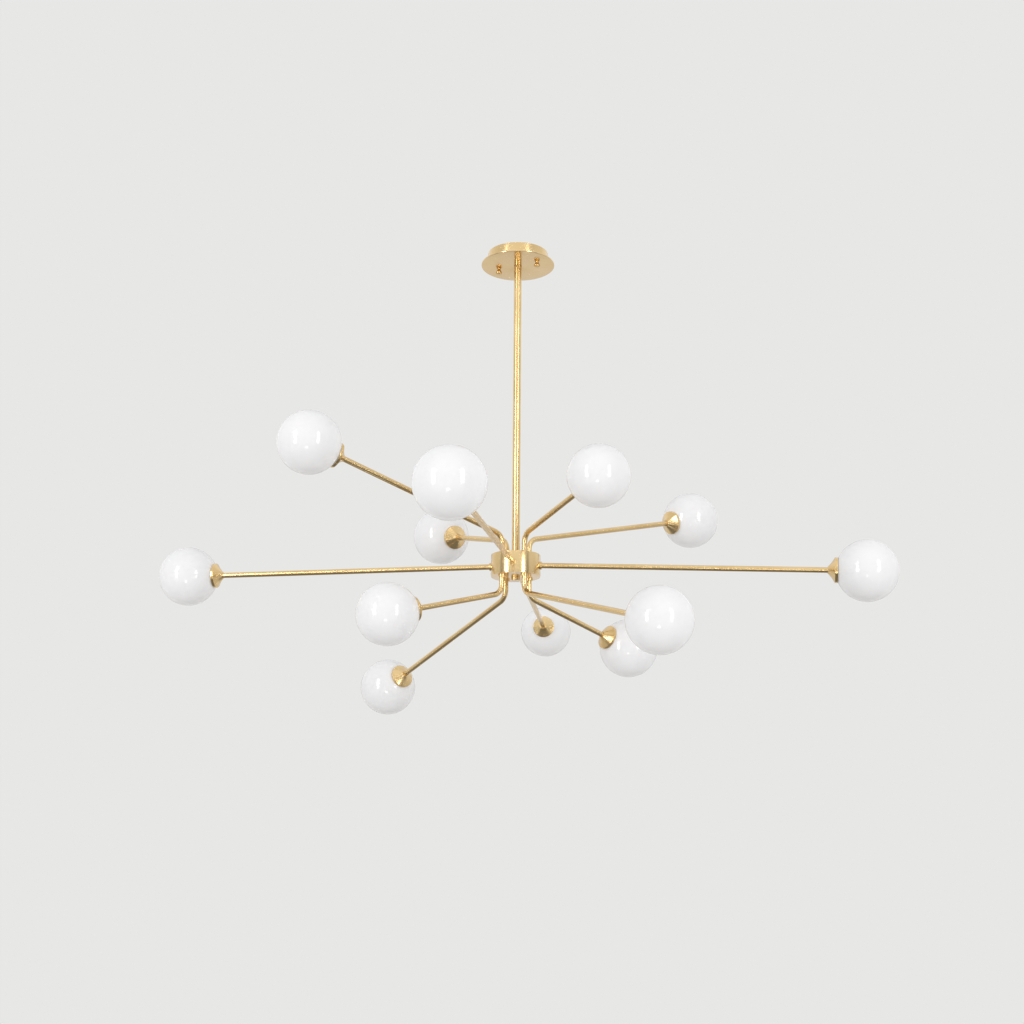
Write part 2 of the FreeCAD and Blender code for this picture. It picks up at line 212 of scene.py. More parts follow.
def drill(thing, centres, radius):
    """Cuts upright holes through a turned piece about Z, and lays its grain again."""
    low, high = min(v.co.z for v in thing.data.vertices), max(v.co.z for v in thing.data.vertices)
    outline = [(0.0, low - 0.01), (radius, low - 0.01), (radius, high + 0.01), (0.0, high + 0.01)]
    cutter = lathe("drill", [(Vector((x, y, 0)), UP) for x, y in centres], outline, segments=32)
    cut = thing.modifiers.new("holes", "BOOLEAN")
    cut.operation = "DIFFERENCE"
    cut.solver = "EXACT"
    cut.object = cutter
    graph = bpy.context.evaluated_depsgraph_get()
    mesh = bpy.data.meshes.new_from_object(thing.evaluated_get(graph), depsgraph=graph)
    thing.modifiers.remove(cut)
    bpy.data.objects.remove(cutter)
    thing.data = mesh
    grain, stretch = turned_grain([v.co for v in mesh.vertices], Vector(), UP)
    store_vectors(mesh, "grain", grain)
    store_vectors(mesh, "stretch", stretch)
    smooth_with_edges(mesh, 32)
    return thing


def signed_volume(mesh):
    total = 0.0
    for p in mesh.polygons:
        v = [mesh.vertices[i].co for i in p.vertices]
        for i in range(1, len(v) - 1):
            total += v[0].dot(v[i].cross(v[i + 1])) / 6
    return total


def face_outwards(mesh):
    if signed_volume(mesh) < 0:
        mesh.flip_normals()
    mesh.update()


def store_vectors(mesh, name, values):
    layer = mesh.attributes.get(name) or mesh.attributes.new(name, "FLOAT_VECTOR", "POINT")
    layer.data.foreach_set("vector", np.array(values, np.float32).ravel())


# ---- Material helpers ----------------------------------------------------------------------

class Finish:
    """A material with its shader node, and short calls to add pattern nodes."""

    def __init__(self, name):
        self.material = bpy.data.materials.new(name)
        self.material.use_nodes = True
        self.nodes = self.material.node_tree.nodes
        self.links = self.material.node_tree.links
        self.shader = self.nodes["Principled BSDF"]

    def set(self, **values):
        for key, value in values.items():
            self.shader.inputs[key.replace("_", " ")].default_value = value

    def add(self, kind, **values):
        node = self.nodes.new(kind)
        for key, value in values.items():
            if hasattr(node, key):
                setattr(node, key, value)
            else:
                node.inputs[key.replace("_", " ")].default_value = value
        return node

    def link(self, a, b):
        self.links.new(a, b)

    def noise(self, vector, scale, detail=3.0, roughness=0.5):
        node = self.add("ShaderNodeTexNoise", Scale=scale, Detail=detail, Roughness=roughness)
        self.link(vector, node.inputs["Vector"])
        return node.outputs["Fac"]

    def object_place(self):
        return self.add("ShaderNodeTexCoord").outputs["Object"]

    def stored(self, name):
        return self.add("ShaderNodeAttribute", attribute_name=name).outputs["Vector"]

    def spread(self, value, low, high, new_low, new_high):
        node = self.add("ShaderNodeMapRange")
        self.link(value, node.inputs["Value"])
        limits = {"From Min": low, "From Max": high, "To Min": new_low, "To Max": new_high}
        for key, number in limits.items():
            node.inputs[key].default_value = number
        return node.outputs["Result"]

    def mix(self, factor, first, second):
        node = self.add("ShaderNodeMix", data_type="RGBA")
        self.link(factor, node.inputs["Factor"])
        for socket, value in ((node.inputs[6], first), (node.inputs[7], second)):
            if isinstance(value, tuple):
                socket.default_value = (*value, 1)
            else:
                self.link(value, socket)
        return node.outputs[2]

    def bump(self, height, strength, distance):
        node = self.add("ShaderNodeBump", Strength=strength, Distance=distance)
        self.link(height, node.inputs["Height"])
        self.link(node.outputs["Normal"], self.shader.inputs["Normal"])


def brushed_brass(name, light, dark, smooth, rough):
    """Satin lacquered brass: fine turned rings that smear light across them, and a faint patina."""
    finish = Finish(name)
    finish.set(Metallic=1.0, Anisotropic=0.75, Coat_Weight=0.6, Coat_Roughness=0.12)
    lines = finish.noise(finish.stored("grain"), 1400, 2.0, 0.6)
    patches = finish.noise(finish.object_place(), 14, 4.0, 0.55)
    colour = finish.mix(finish.spread(patches, 0.35, 0.68, 0, 1), light, dark)
    streaked = finish.mix(finish.spread(lines, 0.40, 0.75, 0, 0.18), colour, dark)
    finish.link(streaked, finish.shader.inputs["Base Color"])
    finish.link(finish.spread(lines, 0.3, 0.7, smooth, rough), finish.shader.inputs["Roughness"])
    turn = finish.add("ShaderNodeVectorTransform", vector_type="VECTOR",
                      convert_from="OBJECT", convert_to="WORLD")
    finish.link(finish.stored("stretch"), turn.inputs["Vector"])
    finish.link(turn.outputs["Vector"], finish.shader.inputs["Tangent"])
    finish.bump(lines, 0.02, 0.0001)
    return finish.material


def machined_metal(name, light, dark, smooth, rough):
    """Plain turned or plated metal seen only with the canopy down or a globe off."""
    finish = Finish(name)
    finish.set(Metallic=1.0)
    cloud = finish.noise(finish.object_place(), 90, 4.0)
    finish.link(finish.mix(cloud, light, dark), finish.shader.inputs["Base Color"])
    finish.link(finish.spread(cloud, 0.3, 0.7, smooth, rough), finish.shader.inputs["Roughness"])
    finish.bump(finish.noise(finish.object_place(), 1500, 2.0), 0.08, 0.0001)
    return finish.material


def opal_glass(name):
    """Blown opal glass: glossy skin, white body that light sinks into, faint clouding."""
    finish = Finish(name)
    finish.set(IOR=1.5, Subsurface_Weight=0.25, Subsurface_Scale=0.01, Subsurface_Radius=(1.0, 1.0, 1.0))
    cloud = finish.noise(finish.object_place(), 26, 3.0)
    colour = finish.mix(cloud, (0.95, 0.95, 0.975), (0.93, 0.93, 0.96))
    finish.link(colour, finish.shader.inputs["Base Color"])
    finish.link(finish.spread(cloud, 0.3, 0.7, 0.045, 0.075), finish.shader.inputs["Roughness"])
    finish.bump(finish.noise(finish.object_place(), 60, 1.0), 0.03, 0.0004)
    return finish.material


def glazed_ceramic(name):
    finish = Finish(name)
    finish.set(IOR=1.5, Coat_Weight=0.4, Coat_Roughness=0.08)
    speckle = finish.noise(finish.object_place(), 900, 2.0)
    colour = finish.mix(speckle, (0.90, 0.89, 0.86), (0.80, 0.79, 0.75))
    finish.link(colour, finish.shader.inputs["Base Color"])
    finish.link(finish.spread(speckle, 0.3, 0.7, 0.22, 0.38), finish.shader.inputs["Roughness"])
    finish.bump(speckle, 0.06, 0.0002)
    return finish.material


def frosted_lamp(name):
    finish = Finish(name)
    finish.set(IOR=1.45, Subsurface_Weight=0.2, Subsurface_Scale=0.004)
    frost = finish.noise(finish.object_place(), 2200, 2.0)
    colour = finish.mix(frost, (0.96, 0.95, 0.90), (0.90, 0.89, 0.84))
    finish.link(colour, finish.shader.inputs["Base Color"])
    finish.link(finish.spread(frost, 0.3, 0.7, 0.3, 0.5), finish.shader.inputs["Roughness"])
    finish.bump(frost, 0.10, 0.0001)
    return finish.material


def soft_rubber(name):
    finish = Finish(name)
    cloud = finish.noise(finish.object_place(), 400, 3.0)
    colour = finish.mix(cloud, (0.80, 0.80, 0.77), (0.68, 0.68, 0.65))
    finish.link(colour, finish.shader.inputs["Base Color"])
    finish.link(finish.spread(cloud, 0.3, 0.7, 0.5, 0.7), finish.shader.inputs["Roughness"])
    return finish.material


def pale_plaster(name, colour):
    finish = Finish(name)
    cloud = finish.noise(finish.object_place(), 3, 4.0)
    shade = tuple(c * 0.97 for c in colour)
    finish.link(finish.mix(cloud, colour, shade), finish.shader.inputs["Base Color"])
    finish.set(Roughness=0.85)
    return finish.material


BRASS = brushed_brass("satin_brass", (0.88, 0.66, 0.34), (0.78, 0.55, 0.25), 0.20, 0.26)
BRASS_PLATE = brushed_brass("satin_brass_plate", (0.90, 0.67, 0.36), (0.84, 0.60, 0.29), 0.16, 0.22)
RAW_BRASS = machined_metal("raw_brass", (0.80, 0.62, 0.34), (0.70, 0.52, 0.26), 0.25, 0.4)
ZINC = machined_metal("zinc_steel", (0.70, 0.71, 0.72), (0.55, 0.56, 0.58), 0.3, 0.5)
OPAL = opal_glass("opal_glass")
CERAMIC = glazed_ceramic("white_ceramic")
LAMP = frosted_lamp("lamp_glass")
RUBBER = soft_rubber("clear_rubber")


def finish_piece(piece, material, slot, body, *nodes):
    piece.data.materials.clear()
    piece.data.materials.append(material)
    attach(piece, body)
    if nodes:
        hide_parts(*nodes)
    return piece


# ---- Tubes: a Geometry Nodes tree that bends a tube along a path --------------------------------

def tube_tree():
    """Rounds the corners of a path and runs a hollow tube along it, with fine rings for grain."""
    tree = bpy.data.node_groups.new("tube_along_path", "GeometryNodeTree")
    face = tree.interface
    face.new_socket("Path", in_out="INPUT", socket_type="NodeSocketGeometry")
    for title, value in (("Outer Radius", 0.005), ("Inner Radius", 0.004), ("Bend Radius", 0.02)):
        face.new_socket(title, in_out="INPUT", socket_type="NodeSocketFloat").default_value = value
    face.new_socket("Round Steps", in_out="INPUT", socket_type="NodeSocketInt").default_value = 48
    face.new_socket("Bend Steps", in_out="INPUT", socket_type="NodeSocketInt").default_value = 24
    face.new_socket("Finish", in_out="INPUT", socket_type="NodeSocketMaterial")
    face.new_socket("Tube", in_out="OUTPUT", socket_type="NodeSocketGeometry")
    node = tree.nodes.new
    link = tree.links.new
    inputs = node("NodeGroupInput").outputs
    to_curve = node("GeometryNodeMeshToCurve")
    link(inputs["Path"], to_curve.inputs["Mesh"])
    fillet = node("GeometryNodeFilletCurve")
    fillet.mode = "POLY"
    link(to_curve.outputs["Curve"], fillet.inputs["Curve"])
    link(inputs["Bend Steps"], fillet.inputs["Count"])
    link(inputs["Bend Radius"], fillet.inputs["Radius"])
    run = node("GeometryNodeSplineParameter")
    keep_run = node("GeometryNodeStoreNamedAttribute")
    keep_run.data_type = "FLOAT"
    keep_run.inputs["Name"].default_value = "run"
    link(fillet.outputs["Curve"], keep_run.inputs["Geometry"])
    link(run.outputs["Length"], keep_run.inputs["Value"])
    keep_way = node("GeometryNodeStoreNamedAttribute")
    keep_way.data_type = "FLOAT_VECTOR"
    keep_way.inputs["Name"].default_value = "stretch"
    link(keep_run.outputs["Geometry"], keep_way.inputs["Geometry"])
    link(node("GeometryNodeInputTangent").outputs["Tangent"], keep_way.inputs["Value"])

    walls = []
    for title in ("Outer Radius", "Inner Radius"):
        circle = node("GeometryNodeCurvePrimitiveCircle")
        link(inputs["Round Steps"], circle.inputs["Resolution"])
        link(inputs[title], circle.inputs["Radius"])
        around = node("GeometryNodeInputPosition")
        keep_around = node("GeometryNodeStoreNamedAttribute")
        keep_around.data_type = "FLOAT_VECTOR"
        keep_around.inputs["Name"].default_value = "around"
        link(circle.outputs["Curve"], keep_around.inputs["Geometry"])
        link(around.outputs["Position"], keep_around.inputs["Value"])
        wall = node("GeometryNodeCurveToMesh")
        link(keep_way.outputs["Geometry"], wall.inputs["Curve"])
        link(keep_around.outputs["Geometry"], wall.inputs["Profile Curve"])
        walls.append(wall.outputs["Mesh"])
    flip = node("GeometryNodeFlipFaces")
    link(walls[1], flip.inputs["Mesh"])
    join = node("GeometryNodeJoinGeometry")
    link(walls[0], join.inputs["Geometry"])
    link(flip.outputs["Mesh"], join.inputs["Geometry"])

    read_run = node("GeometryNodeInputNamedAttribute")
    read_run.data_type = "FLOAT"
    read_run.inputs["Name"].default_value = "run"
    read_around = node("GeometryNodeInputNamedAttribute")
    read_around.data_type = "FLOAT_VECTOR"
    read_around.inputs["Name"].default_value = "around"
    slow = node("ShaderNodeVectorMath")
    slow.operation = "SCALE"
    slow.inputs["Scale"].default_value = RING_STRETCH
    link(read_around.outputs["Attribute"], slow.inputs[0])
    split = node("ShaderNodeSeparateXYZ")
    link(slow.outputs["Vector"], split.inputs["Vector"])
    build = node("ShaderNodeCombineXYZ")
    link(split.outputs["X"], build.inputs["X"])
    link(split.outputs["Y"], build.inputs["Y"])
    link(read_run.outputs["Attribute"], build.inputs["Z"])
    grain = node("GeometryNodeStoreNamedAttribute")
    grain.data_type = "FLOAT_VECTOR"
    grain.inputs["Name"].default_value = "grain"
    link(join.outputs["Geometry"], grain.inputs["Geometry"])
    link(build.outputs["Vector"], grain.inputs["Value"])
    smooth = node("GeometryNodeSetShadeSmooth")
    link(grain.outputs["Geometry"], smooth.inputs["Geometry"])
    real = node("GeometryNodeRealizeInstances")
    link(smooth.outputs["Geometry"], real.inputs["Geometry"])
    paint = node("GeometryNodeSetMaterial")
    link(real.outputs["Geometry"], paint.inputs["Geometry"])
    link(inputs["Finish"], paint.inputs["Material"])
    link(paint.outputs["Geometry"], node("NodeGroupOutput").inputs["Tube"])
    return tree


def socket_id(tree, title):
    return next(item.identifier for item in tree.interface.items_tree
                if item.item_type == "SOCKET" and item.in_out == "INPUT" and item.name == title)


TUBE_TREE = tube_tree()


def close_ends(mesh):
    """Joins the outer and inner walls of a tube at its two open ends, always in the same order."""
    work = bmesh.new()
    work.from_mesh(mesh)
    left = [edge for edge in work.edges if edge.is_boundary]
    loops = []
    while left:
        loop = [left.pop(0)]
        for edge in loop:
            for vert in edge.verts:
                for near in vert.link_edges:
                    if near in left:
                        left.remove(near)
                        loop.append(near)
        loops.append(loop)

    def middle(loop):
        return sum((vert.co for edge in loop for vert in edge.verts), Vector()) / (2 * len(loop))

    while loops:
        first = loops.pop()
        spot = middle(first)
        mate = min(loops, key=lambda other: (middle(other) - spot).length)
        loops.remove(mate)
        bmesh.ops.bridge_loops(work, edges=first + mate)
    work.to_mesh(mesh)
    work.free()


def tube(name, points, outer, inner, bend, material):
    path = bpy.data.meshes.new(name + "_path")
    path.from_pydata(points, [(i, i + 1) for i in range(len(points) - 1)], [])
    thing = new_object(name + "_path", path)
    step = thing.modifiers.new("tube", "NODES")
    step.node_group = TUBE_TREE
    values = (("Outer Radius", outer), ("Inner Radius", inner), ("Bend Radius", bend), ("Finish", material))
    for title, value in values:
        step[socket_id(TUBE_TREE, title)] = value
    graph = bpy.context.evaluated_depsgraph_get()
    mesh = bpy.data.meshes.new_from_object(thing.evaluated_get(graph), depsgraph=graph)
    thing.modifiers.remove(step)
    bpy.data.objects.remove(thing)
    close_ends(mesh)
    face_outwards(mesh)
    smooth_with_edges(mesh, 40)
    mesh.name = name
    return new_object(name, mesh)


# ---- Globes, cups and arms -------------------------------------------------------------------

def arc_points(radius, start, end, steps):
    """Points on a circle about the globe's centre, angles in radians from the outward axis."""
    return [(radius * math.sin(start + (end - start) * i / steps),
             radius * math.cos(start + (end - start) * i / steps)) for i in range(steps + 1)]


def globe_outline(radius):
    inner = radius - GLASS_WALL
    neck_in = GLASS_NECK_RADIUS - GLASS_WALL
    outer_end = math.pi - math.asin(GLASS_NECK_RADIUS / radius)
    inner_end = math.pi - math.asin(neck_in / inner)
    root = radius * math.cos(outer_end)
    foot = root - GLASS_NECK_LENGTH
    lip = GLASS_WALL * 0.45
    outline = arc_points(radius, 0.0, outer_end, 56)
    outline[0] = (0.0, radius)
    ridge = 0.0003
    for k in range(2):
        top = root - 0.0008 - k * 0.0015
        outline += [(GLASS_NECK_RADIUS, top), (GLASS_NECK_RADIUS + ridge, top - 0.0004),
                    (GLASS_NECK_RADIUS, top - 0.0008)]
    outline += [(GLASS_NECK_RADIUS, foot + lip), (GLASS_NECK_RADIUS - lip * 0.4, foot + lip * 0.2),
                (GLASS_NECK_RADIUS - lip, foot), (neck_in + lip, foot),
                (neck_in + lip * 0.4, foot + lip * 0.2), (neck_in, foot + lip)]
    inside = arc_points(inner, inner_end, 0.0, 44)
    inside[-1] = (0.0, inner)
    return outline + inside


def cup_outline(radius):
    seat = radius + SEAT_GAP
    front = -math.sqrt(seat ** 2 - CUP_RIM_RADIUS ** 2)
    band = front - CUP_BAND
    small = band - CUP_FLARE
    bore_top = -math.sqrt(seat ** 2 - CUP_BORE_RADIUS ** 2)
    bore_end = -math.sqrt(radius ** 2 - GLASS_NECK_RADIUS ** 2) - GLASS_NECK_LENGTH - 0.0005
    floor = small + 0.005
    corners = [(CUP_RIM_RADIUS, front, 0.0004), (CUP_RIM_RADIUS, band + 0.0004, 0.0003),
               (CUP_RIM_RADIUS - 0.0006, band, 0.0002)]
    flare = []
    steps = 14
    span = CUP_RIM_RADIUS - 0.0006 - CUP_SMALL_RADIUS
    for i in range(1, steps + 1):
        t = i / steps
        dip = 0.0014 * math.sin(math.pi * t)
        flare.append((CUP_RIM_RADIUS - 0.0006 - span * t - dip, band - (CUP_FLARE - 0.0006) * t))
    corners += flare
    corners += [(CUP_SMALL_RADIUS, small, 0.0003), (ARM_RADIUS + SOCKET_PLAY, small, 0.0002),
                (ARM_RADIUS + SOCKET_PLAY, small + TUBE_SOCKET),
                (ARM_RADIUS - TUBE_WALL, small + TUBE_SOCKET), (ARM_RADIUS - TUBE_WALL, floor),
                (HOLDER_BORE_RADIUS, floor, 0.0006), (CUP_BORE_RADIUS, bore_end, 0.0008),
                (CUP_BORE_RADIUS, bore_top, 0.0003)]
    return softened(corners)


def lamps_of(tier):
    return [lamp for lamp in LAMP_AXES if lamp.startswith(tier)]


def arm_route(lamp):
    """From inside the hub to the cup: straight on a level arm, with one corner on a bent one."""
    centre, radius = globe_place(lamp)
    axis = LAMP_AXES[lamp]
    small = -math.sqrt((radius + SEAT_GAP) ** 2 - CUP_RIM_RADIUS ** 2) - CUP_BAND - CUP_FLARE
    tip = centre + axis * (small + TUBE_SOCKET)
    low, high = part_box("arm_" + lamp)
    if lamp.startswith("side"):
        hub_low, hub_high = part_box("hub_body")
        hub_radius = (hub_high.x - hub_low.x) / 2
        flat = Vector((axis.x, axis.y)).length
        reach = (Vector((centre.x, centre.y)).length - hub_radius + 0.012) / flat
        return [centre - axis * reach, tip]
    exit_x = low.x + ARM_RADIUS if axis.x > 0 else high.x - ARM_RADIUS
    exit_y = low.y + ARM_RADIUS if axis.y > 0 else high.y - ARM_RADIUS
    flat = Vector((axis.x, axis.y))
    back = (Vector((centre.x - exit_x, centre.y - exit_y)).dot(flat)) / flat.length_squared
    corner_z = centre.z - axis.z * back
    start_z = low.z if lamp.startswith("upper") else high.z
    return [Vector((exit_x, exit_y, start_z)), Vector((exit_x, exit_y, corner_z)), tip]


def make_arms():
    for lamp in LAMP_AXES:
        inner = ARM_RADIUS - TUBE_WALL
        arm = tube("arm_tube_" + lamp, arm_route(lamp), ARM_RADIUS, inner, BEND_RADIUS, BRASS)
        finish_piece(arm, BRASS, SATIN, "fixture", "arm_" + lamp)


def make_globes():
    for lamp, axis in LAMP_AXES.items():
        centre, radius = globe_place(lamp)
        globe = lathe("glass_" + lamp, [(centre, axis)], globe_outline(radius), 50)
        finish_piece(globe, OPAL, "opal_glass", "globe_" + lamp, "globe_" + lamp)


def make_cups():
    for tier in ("side", "upper", "lower"):
        lamps = lamps_of(tier)
        outline = cup_outline(globe_place(lamps[0])[1])
        places = [(globe_place(lamp)[0], LAMP_AXES[lamp]) for lamp in lamps]
        cups = lathe(tier + "_cup_set", places, outline)
        finish_piece(cups, BRASS, SATIN, "fixture", tier + "_cups")


# ---- Stem, hub and canopy ----------------------------------------------------------------------

def make_collars():
    hub_low, hub_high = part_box("hub_body")
    hub_radius = (hub_high.x - hub_low.x) / 2
    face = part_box("hub_bottom_plate")[0].z
    ring = softened([(COLLAR_RADIUS, 0), (COLLAR_RADIUS, COLLAR_HEIGHT, 0.0006),
                     (ARM_RADIUS + COLLAR_PLAY, COLLAR_HEIGHT, 0.0002), (ARM_RADIUS + COLLAR_PLAY, 0)])
    sunk_ring = [(r, s if s > 0 else -COLLAR_SUNK) for r, s in ring]
    places = []
    for lamp in lamps_of("side"):
        start, tip = arm_route(lamp)
        axis = LAMP_AXES[lamp]
        flat = Vector((axis.x, axis.y)).length
        places.append((tip - axis * ((Vector((tip.x, tip.y)).length - hub_radius) / flat), axis))
    collars = lathe("side_collar_set", places, sunk_ring)
    finish_piece(collars, BRASS, SATIN, "fixture", "side_arm_collars")
    for tier, z, way in (("upper", hub_high.z, UP), ("lower", face, -UP)):
        starts = [arm_route(lamp)[0] for lamp in lamps_of(tier)]
        places = [(Vector((start.x, start.y, z)), way) for start in starts]
        collars = lathe(tier + "_collar_set", places, ring)
        finish_piece(collars, BRASS, SATIN, "fixture", tier + "_arm_collars")


def make_hub():
    low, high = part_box("hub_body")
    radius = (high.x - low.x) / 2
    centre = [(Vector(), UP)]
    outline = softened([(ROD_RADIUS, high.z), (radius, high.z, 0.0006), (radius, low.z, 0.0003),
                        (radius - HUB_WALL, low.z), (radius - HUB_WALL, high.z - HUB_WALL),
                        (ROD_RADIUS, high.z - HUB_WALL)])
    finish_piece(lathe("hub", centre, outline, segments=160), BRASS, SATIN, "fixture", "hub_body")
    low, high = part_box("hub_bottom_plate")
    radius = (high.x - low.x) / 2
    outline = softened([(ROD_RADIUS, high.z), (radius, high.z),
                        (radius, low.z, 0.0005), (ROD_RADIUS, low.z)])
    plate = lathe("hub_plate", centre, outline, segments=160)
    finish_piece(plate, BRASS_PLATE, SATIN, "fixture", "hub_bottom_plate")
    low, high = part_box("hub_cap_nut")
    radius = (high.x - low.x) / 2
    outline = softened([(ROD_RADIUS, high.z), (radius, high.z, 0.0003), (radius, low.z, 0.0012),
                        (0.0, low.z), (0.0, low.z + CAP_NUT_FLOOR), (ROD_RADIUS, low.z + CAP_NUT_FLOOR)])
    finish_piece(lathe("cap_nut", centre, outline), BRASS, SATIN, "fixture", "hub_cap_nut")


def make_stem():
    low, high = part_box("stem_tube")
    radius = (high.x - low.x) / 2
    ends = [Vector((0, 0, low.z)), Vector((0, 0, high.z))]
    stem = tube("stem", ends, radius, radius - STEM_WALL, 0, BRASS)
    finish_piece(stem, BRASS, SATIN, "fixture", "stem_tube")
    return radius


def make_canopy(stem_radius):
    hole = stem_radius + STEM_GAP
    centre = [(Vector(), UP)]
    studs = []
    for side in ("right", "left"):
        low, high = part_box("canopy_knob_" + side)
        studs.append(((low.x + high.x) / 2, (low.y + high.y) / 2))
        radius = (high.x - low.x) / 2
        height = high.z - low.z
        flare = [(KNOB_NECK_RADIUS + (radius - KNOB_NECK_RADIUS) * (1 - math.cos(t * math.pi / 2)) ** 0.9,
                  KNOB_FLARE_HEIGHT * t) for t in (0.15, 0.3, 0.45, 0.6, 0.72, 0.83, 0.92)]
        outline = softened([(KNOB_BORE_RADIUS, 0), (KNOB_NECK_RADIUS, 0, 0.0002)] + flare
                           + [(radius, KNOB_FLARE_HEIGHT, 0.0003), (radius, height - 0.001, 0.0003),
                              (radius - 0.001, height, 0.0003), (0.0, height), (0.0, height - KNOB_ROOF),
                              (KNOB_BORE_RADIUS, height - KNOB_ROOF)])
        knob = lathe("knob_" + side, [(Vector((*studs[-1], high.z)), -UP)], outline, segments=64)
        finish_piece(knob, BRASS, SATIN, "knob_" + side, "canopy_knob_" + side)
    low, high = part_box("canopy_drum")
    radius = (high.x - low.x) / 2
    outline = softened([(hole, low.z), (radius, low.z), (radius, high.z, 0.0004),
                        (radius - DRUM_WALL, high.z, 0.0004),
                        (radius - DRUM_WALL, low.z + DRUM_WALL), (hole, low.z + DRUM_WALL)])
    drum = drill(lathe("drum", centre, outline, segments=192), studs, STUD_HOLE_RADIUS)
    finish_piece(drum, BRASS, SATIN, "canopy", "canopy_drum")
    low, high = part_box("canopy_plate")
    radius = (high.x - low.x) / 2
    outline = softened([(hole, low.z, 0.0003), (radius, low.z, 0.0008),
                        (radius, high.z, 0.0006), (hole, high.z)])
    plate = drill(lathe("plate", centre, outline, segments=192), studs, STUD_HOLE_RADIUS)
    finish_piece(plate, BRASS_PLATE, SATIN, "canopy", "canopy_plate")


INNER_FINISH = {
    "box_bar": ZINC, "stud_bar": ZINC, "canopy_studs": ZINC, "top_rod": ZINC, "top_rod_nut": ZINC,
    "hub_rod": ZINC, "hub_rod_nut": ZINC,
    "side_arm_nuts": ZINC, "upper_arm_nuts": ZINC, "lower_arm_nuts": ZINC,
    "stem_top_insert": RAW_BRASS, "stem_bottom_insert": RAW_BRASS, "cup_nipples": RAW_BRASS,
    "canopy_terminal_block": CERAMIC, "hub_terminal_block": CERAMIC, "lampholders": CERAMIC,
    "bulbs": LAMP, "globe_gaskets": RUBBER,
}


def finish_inner_parts():
    for node, material in INNER_FINISH.items():
        NODES[node].data.materials.clear()
        NODES[node].data.materials.append(material)


def make_stage():
    z, half = FLOOR_HEIGHT, FLOOR_HALF
    mesh = bpy.data.meshes.new("floor")
    corners = [(-half, -half, z), (half, -half, z), (half, half, z), (-half, half, z)]
    mesh.from_pydata(corners, [], [(0, 1, 2, 3)])
    floor = new_object("floor", mesh)
    mesh.materials.append(pale_plaster("pale_floor", (0.74, 0.73, 0.71)))
    floor.visible_glossy = False


# ---- Camera and light ----------------------------------------------------------------------

FLOOR_HEIGHT = -2.45            # below the ceiling
FLOOR_HALF = 8.0
ROOM_RADIUS = 5.5               # the mirrored room
CAMERA_AZIMUTH = -80.17         # from the hub's axis, degrees from +X
CAMERA_DISTANCE = 2.944         # level distance from the hub's axis
CAMERA_HEIGHT = -1.335          # below the ceiling
CAMERA_PITCH = 14.73
CAMERA_ROLL = 0.47
CAMERA_SWING = 0.16             # heading, degrees off the line to the hub's axis
CAMERA_LENS = 53.12
HUB_HEIGHT = (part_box("hub_body")[0].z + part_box("hub_body")[1].z) / 2
WINDOW_SHINE = 10.0             # brightness of the windows in the mirrored room
WINDOW_POWER = 30               # watts of each window's soft light


def level(azimuth):
    return Vector((math.cos(math.radians(azimuth)), math.sin(math.radians(azimuth)), 0))


def make_camera():
    camera = bpy.data.objects.new("camera", bpy.data.cameras.new("camera"))
    bpy.context.scene.collection.objects.link(camera)
    heading = CAMERA_AZIMUTH + 180 + CAMERA_SWING
    pitch = math.radians(CAMERA_PITCH)
    roll = math.radians(CAMERA_ROLL)
    forward = level(heading) * math.cos(pitch) + UP * math.sin(pitch)
    right = level(heading - 90)
    above = right.cross(forward)
    turned_right = right * math.cos(roll) + above * math.sin(roll)
    turned_up = above * math.cos(roll) - right * math.sin(roll)
    place = level(CAMERA_AZIMUTH) * CAMERA_DISTANCE + UP * CAMERA_HEIGHT
    columns = (turned_right, turned_up, -forward, place)
    camera.matrix_world = Matrix([[c[i] for c in columns] for i in range(3)] + [[0, 0, 0, 1]])
    camera.data.lens = CAMERA_LENS
    camera.data.sensor_width = 36.0
    camera.data.clip_end = 100
    bpy.context.scene.camera = camera


def softbox(name, swing, rise, distance, width, height, power):
    """A rectangular light that faces the hub. swing is to the right of the camera's side, rise up."""
    hub = Vector((0, 0, HUB_HEIGHT))
    lift = math.radians(rise)
    direction = level(CAMERA_AZIMUTH + swing) * math.cos(lift) + UP * math.sin(lift)
    light = bpy.data.lights.new(name, "AREA")
    light.shape = "RECTANGLE"
    light.size = width
    light.size_y = height
    light.energy = power
    lamp = bpy.data.objects.new(name, light)
    bpy.context.scene.collection.objects.link(lamp)
    lamp.location = hub + direction * distance
    lamp.rotation_euler = direction.to_track_quat("Z", "Y").to_euler()
    lamp.visible_camera = False
    lamp.visible_glossy = False


def fade(value, start, end):
    """0 below start, 1 above end, smooth between."""
    t = np.clip((value - start) / (end - start), 0, 1)
    return t * t * (3 - 2 * t)


def panel(swing, rise, middle, level_middle, width, height, soft):
    """How much a soft-edged rectangle covers each direction."""
    across = 1 - fade(abs(swing - middle), width / 2 - soft, width / 2 + soft)
    return across * (1 - fade(abs(rise - level_middle), height / 2 - soft, height / 2 + soft))


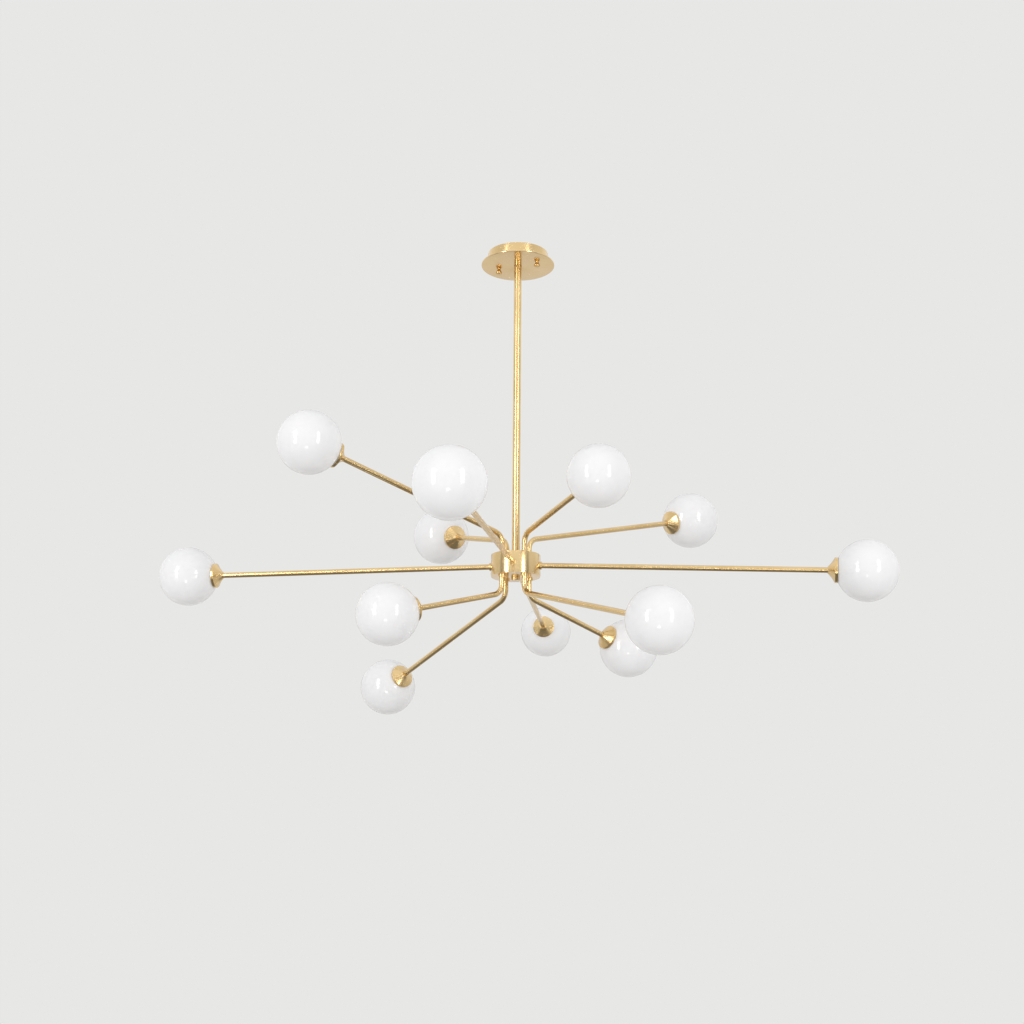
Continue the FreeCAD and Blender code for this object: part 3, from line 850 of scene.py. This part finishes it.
def room_shade(swing, rise):
    """Brightness of the room that the polished parts mirror: dim sides, dark floor, tall windows."""
    shade = 0.62 + 0.18 * fade(rise, 0, 22)
    shade += 0.16 * (1 - fade(abs(swing), 20, 60)) + 0.10 * fade(abs(swing), 95, 125)
    shade -= 0.18 * fade(abs(swing), 148, 165) * fade(rise, -4, 8)
    shade -= 0.34 * panel(swing, rise, -68, 2, 14, 44, 4) + 0.40 * panel(swing, rise, 56, 2, 12, 44, 4)
    shade = shade + (0.20 - shade) * (1 - fade(rise, -46, -24))
    shade += WINDOW_SHINE * panel(swing, rise, -43, 5, 9, 36, 2.5)
    shade += WINDOW_SHINE * panel(swing, rise, 35, 5, 8, 36, 2.5)
    shade += 9.0 * panel(swing, rise, -5, -32, 10, 5, 2.5)
    return shade


def make_mirrored_room():
    """A dome that only reflections see, so that brass and glass mirror a room with windows."""
    across, up = 240, 120
    swings = np.linspace(-180, 180, across, endpoint=False)
    rises = np.linspace(-90, 90, up + 1)
    hub = Vector((0, 0, HUB_HEIGHT))
    verts, shades = [], []
    for rise in rises:
        flat, z = math.cos(math.radians(rise)), math.sin(math.radians(rise))
        for swing in swings:
            verts.append((level(CAMERA_AZIMUTH + swing) * flat + UP * z) * ROOM_RADIUS + hub)
            shades.append(float(room_shade(swing, rise)))
    faces = []
    for j in range(up):
        low, high = j * across, (j + 1) * across
        for i in range(across):
            after = (i + 1) % across
            faces.append((low + i, low + after, high + after, high + i))
    mesh = bpy.data.meshes.new("mirrored_room")
    mesh.from_pydata(verts, [], faces)
    layer = mesh.attributes.new("shade", "FLOAT", "POINT")
    layer.data.foreach_set("value", np.array(shades, np.float32))
    dome = new_object("mirrored_room", mesh)
    glow = bpy.data.materials.new("mirrored_room")
    glow.use_nodes = True
    nodes, links = glow.node_tree.nodes, glow.node_tree.links
    nodes.clear()
    shade = nodes.new("ShaderNodeAttribute")
    shade.attribute_name = "shade"
    light = nodes.new("ShaderNodeEmission")
    light.inputs["Color"].default_value = (1.0, 0.985, 0.96, 1)
    links.new(shade.outputs["Fac"], light.inputs["Strength"])
    links.new(light.outputs["Emission"], nodes.new("ShaderNodeOutputMaterial").inputs["Surface"])
    glow.cycles.emission_sampling = "NONE"
    mesh.materials.append(glow)
    dome.visible_camera = False
    dome.visible_diffuse = False
    dome.visible_transmission = False
    dome.visible_volume_scatter = False
    dome.visible_shadow = False


def make_lights():
    softbox("window_left", -46, 0, 3.6, 1.1, 2.2, WINDOW_POWER)
    softbox("window_right", 35, 0, 3.6, 0.9, 2.2, WINDOW_POWER)
    world = bpy.data.worlds.new("pale_room")
    world.use_nodes = True
    world.node_tree.nodes["Background"].inputs["Color"].default_value = (0.80, 0.80, 0.79, 1)
    bpy.context.scene.world = world
    bpy.context.scene.view_settings.view_transform = "Standard"


# ---- Build -----------------------------------------------------------------------------------

make_camera()
make_lights()
make_stage()
make_arms()
make_globes()
make_cups()
make_hub()
make_collars()
make_canopy(make_stem())
make_mirrored_room()
finish_inner_parts()
